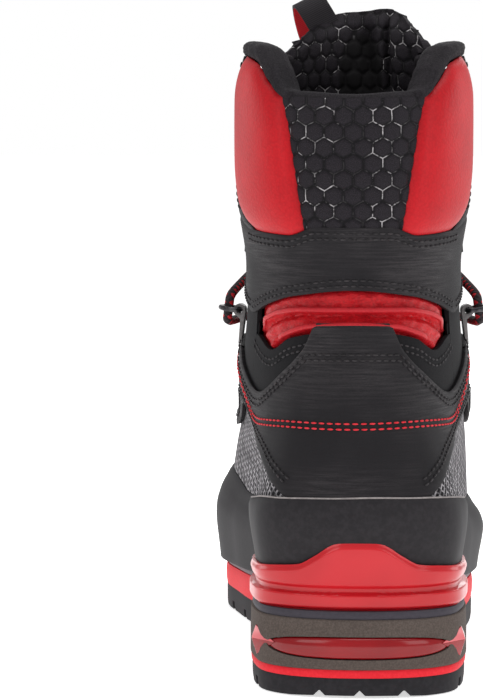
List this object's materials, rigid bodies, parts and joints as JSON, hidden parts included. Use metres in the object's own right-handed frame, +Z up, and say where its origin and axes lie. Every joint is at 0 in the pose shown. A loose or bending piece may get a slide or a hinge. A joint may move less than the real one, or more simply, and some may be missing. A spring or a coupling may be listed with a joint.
{
  "type": "mountaineering boot",
  "caption": "Right mountaineering boot with a lugged outsole, heel welt for a crampon bail, rubber rand, flexing ankle insert and padded lace-up cuff",
  "frame": {"origin": "centre of the boot's outline, on the ground", "axes": "+Z up, +Y from heel to toe, +X to the lateral side of this right boot"},
  "size_m": [0.1084, 0.3046, 0.2557],
  "materials": {
    "outsole_rubber": "matt black rubber",
    "red_midsole_foam": "red moulded foam",
    "heel_wedge_foam": "grey-brown moulded foam",
    "red_gloss_insert": "glossy red moulded plastic",
    "plate_nylon": "dark satin nylon",
    "hidden_board": "hidden stiffener",
    "soft_lining": "soft black knitted lining",
    "mesh_fabric": "black and grey open mesh",
    "black_microfibre": "black brushed microfibre with stitching",
    "stretch_gusset": "smooth black stretch fabric",
    "red_leather": "red soft leather with fine grain",
    "honeycomb_fabric": "black fabric with a silver honeycomb line",
    "webbing": "black webbing with a red inner face",
    "lace_cord": "round braided lace, red with black flecks",
    "dark_steel": "dark satin steel"
  },
  "bodies": {
    "foot": {"outsole": "outsole_rubber", "rand": "outsole_rubber", "midsole": "red_midsole_foam", "heel_wedge": "heel_wedge_foam", "heel_insert": "red_gloss_insert", "heel_welt": "red_gloss_insert", "shank_plate": "plate_nylon", "ankle_tab_lateral": "plate_nylon", "ankle_tab_medial": "plate_nylon", "lasting_board": "hidden_board", "heel_counter": "hidden_board", "toe_puff": "hidden_board", "footbed": "soft_lining", "liner_foot": "soft_lining", "liner_ankle": "soft_lining", "quarter_mesh": "mesh_fabric", "vamp": "black_microfibre", "heel_panel": "black_microfibre", "quarter_overlay_lateral": "black_microfibre", "quarter_overlay_medial": "black_microfibre", "tongue_lower": "black_microfibre", "ankle_gusset_lateral": "stretch_gusset", "ankle_gusset_medial": "stretch_gusset", "tongue_mid": "stretch_gusset", "flex_insert": "red_leather", "lace": "lace_cord", "lace_loop_1_lateral": "dark_steel", "lace_loop_1_medial": "dark_steel", "lace_loop_2_lateral": "dark_steel", "lace_loop_2_medial": "dark_steel", "lace_loop_3_lateral": "dark_steel", "lace_loop_3_medial": "dark_steel"},
    "cuff": {"liner_cuff": "soft_lining", "cuff_band": "black_microfibre", "cuff_hex_panel": "honeycomb_fabric", "tongue_upper": "honeycomb_fabric", "pull_loop": "webbing", "lace_knot": "lace_cord", "cuff_pad_lateral": "red_leather", "cuff_flap_lateral": "black_microfibre", "collar_roll_lateral": "soft_lining", "lace_hook_1_lateral": "dark_steel", "lace_hook_2_lateral": "dark_steel", "lace_bow_lateral": "lace_cord", "lace_tail_lateral": "lace_cord", "lace_tip_lateral": "plate_nylon", "cuff_pad_medial": "red_leather", "cuff_flap_medial": "black_microfibre", "collar_roll_medial": "soft_lining", "lace_hook_1_medial": "dark_steel", "lace_hook_2_medial": "dark_steel", "lace_bow_medial": "lace_cord", "lace_tail_medial": "lace_cord", "lace_tip_medial": "plate_nylon"},
    "bail_lateral": {"ankle_bail_lateral": "dark_steel"},
    "bail_medial": {"ankle_bail_medial": "dark_steel"}
  },
  "joints": [
    {"name": "ankle_flex", "type": "hinge", "parent": "foot", "child": "cuff", "pos_m": [0, -0.075, 0.118], "axis": [-1, 0, 0], "range_deg": [-5, 10], "stiffness_Nm_per_rad": 8, "deforming": ["liner_ankle", "flex_insert", "ankle_gusset_lateral", "ankle_gusset_medial", "tongue_mid", "lace"]},
    {"name": "bail_swing_lateral", "type": "hinge", "parent": "foot", "child": "bail_lateral", "pos_m": [0.04568, -0.05569, 0.13404], "axis": [0.1109, -0.9935, -0.0261], "range_deg": [-20, 20]},
    {"name": "bail_swing_medial", "type": "hinge", "parent": "foot", "child": "bail_medial", "pos_m": [-0.0426, -0.05569, 0.13404], "axis": [-0.1109, -0.9935, -0.0261], "range_deg": [-20, 20]}
  ]
}
